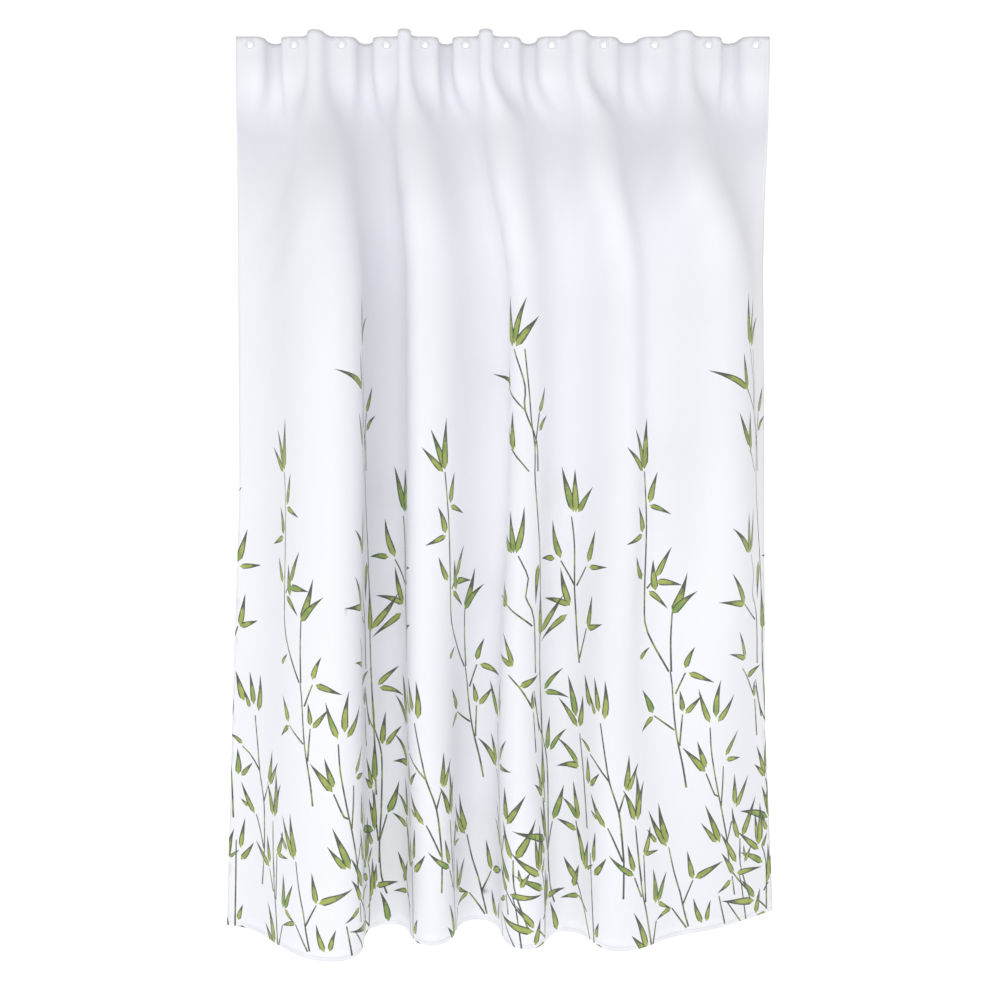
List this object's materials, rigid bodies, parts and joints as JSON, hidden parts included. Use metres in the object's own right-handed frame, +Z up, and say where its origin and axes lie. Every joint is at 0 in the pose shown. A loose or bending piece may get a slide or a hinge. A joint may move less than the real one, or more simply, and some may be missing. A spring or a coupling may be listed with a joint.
{
  "type": "shower curtain",
  "caption": "Printed polyester shower curtain hanging in soft folds, with a taped header, round eyelets that slide along the rod, sewn hems and a weighted lower edge.",
  "frame": {"origin": "middle of the straight line through the eyelets' centres, where rings or a rod hold the curtain", "axes": "+X along the rod to the right as seen from the front, +Z up, the front of the cloth faces -Y"},
  "size_m": [1.2611, 0.2661, 2],
  "materials": {
    "printed_cloth": "satin",
    "hem_cloth": "satin",
    "tape": "matte",
    "label": "satin",
    "weight_cord": "matte",
    "eyelet": "gloss"
  },
  "bodies": {
    "curtain": {"cloth_panel": "printed_cloth", "header_tape": "tape", "left_side_hem": "hem_cloth", "right_side_hem": "hem_cloth", "bottom_hem": "hem_cloth", "hem_weight_cord": "weight_cord", "care_label": "label", "eyelet_01_grommet": "eyelet", "eyelet_01_washer": "eyelet"},
    "eyelet_02": {"eyelet_02_grommet": "eyelet", "eyelet_02_washer": "eyelet"},
    "eyelet_03": {"eyelet_03_grommet": "eyelet", "eyelet_03_washer": "eyelet"},
    "eyelet_04": {"eyelet_04_grommet": "eyelet", "eyelet_04_washer": "eyelet"},
    "eyelet_05": {"eyelet_05_grommet": "eyelet", "eyelet_05_washer": "eyelet"},
    "eyelet_06": {"eyelet_06_grommet": "eyelet", "eyelet_06_washer": "eyelet"},
    "eyelet_07": {"eyelet_07_grommet": "eyelet", "eyelet_07_washer": "eyelet"},
    "eyelet_08": {"eyelet_08_grommet": "eyelet", "eyelet_08_washer": "eyelet"},
    "eyelet_09": {"eyelet_09_grommet": "eyelet", "eyelet_09_washer": "eyelet"},
    "eyelet_10": {"eyelet_10_grommet": "eyelet", "eyelet_10_washer": "eyelet"},
    "eyelet_11": {"eyelet_11_grommet": "eyelet", "eyelet_11_washer": "eyelet"},
    "eyelet_12": {"eyelet_12_grommet": "eyelet", "eyelet_12_washer": "eyelet"}
  },
  "joints": [
    {"name": "eyelet_02_slide", "type": "slide", "parent": "curtain", "child": "eyelet_02", "axis": [1, 0, 0], "range_m": [-0.0639, 0.0005]},
    {"name": "eyelet_03_slide", "type": "slide", "parent": "curtain", "child": "eyelet_03", "axis": [1, 0, 0], "range_m": [-0.1329, 0.0005]},
    {"name": "eyelet_04_slide", "type": "slide", "parent": "curtain", "child": "eyelet_04", "axis": [1, 0, 0], "range_m": [-0.1972, 0.0005]},
    {"name": "eyelet_05_slide", "type": "slide", "parent": "curtain", "child": "eyelet_05", "axis": [1, 0, 0], "range_m": [-0.2531, 0.0005]},
    {"name": "eyelet_06_slide", "type": "slide", "parent": "curtain", "child": "eyelet_06", "axis": [1, 0, 0], "range_m": [-0.3119, 0.0005]},
    {"name": "eyelet_07_slide", "type": "slide", "parent": "curtain", "child": "eyelet_07", "axis": [1, 0, 0], "range_m": [-0.3706, 0.0005]},
    {"name": "eyelet_08_slide", "type": "slide", "parent": "curtain", "child": "eyelet_08", "axis": [1, 0, 0], "range_m": [-0.4364, 0.0005]},
    {"name": "eyelet_09_slide", "type": "slide", "parent": "curtain", "child": "eyelet_09", "axis": [1, 0, 0], "range_m": [-0.5113, 0.0005]},
    {"name": "eyelet_10_slide", "type": "slide", "parent": "curtain", "child": "eyelet_10", "axis": [1, 0, 0], "range_m": [-0.5846, 0.0005]},
    {"name": "eyelet_11_slide", "type": "slide", "parent": "curtain", "child": "eyelet_11", "axis": [1, 0, 0], "range_m": [-0.6625, 0.0005]},
    {"name": "eyelet_12_slide", "type": "slide", "parent": "curtain", "child": "eyelet_12", "axis": [1, 0, 0], "range_m": [-0.73, 0], "deforming": ["cloth_panel", "header_tape", "left_side_hem", "right_side_hem", "bottom_hem", "hem_weight_cord", "care_label"]}
  ],
  "couplings": [
    {"joint": "eyelet_02_slide", "follows": "eyelet_12_slide", "ratio": 0.08691},
    {"joint": "eyelet_03_slide", "follows": "eyelet_12_slide", "ratio": 0.18131},
    {"joint": "eyelet_04_slide", "follows": "eyelet_12_slide", "ratio": 0.26949},
    {"joint": "eyelet_05_slide", "follows": "eyelet_12_slide", "ratio": 0.34605},
    {"joint": "eyelet_06_slide", "follows": "eyelet_12_slide", "ratio": 0.42652},
    {"joint": "eyelet_07_slide", "follows": "eyelet_12_slide", "ratio": 0.507},
    {"joint": "eyelet_08_slide", "follows": "eyelet_12_slide", "ratio": 0.59707},
    {"joint": "eyelet_09_slide", "follows": "eyelet_12_slide", "ratio": 0.69978},
    {"joint": "eyelet_10_slide", "follows": "eyelet_12_slide", "ratio": 0.80017},
    {"joint": "eyelet_11_slide", "follows": "eyelet_12_slide", "ratio": 0.90683}
  ]
}
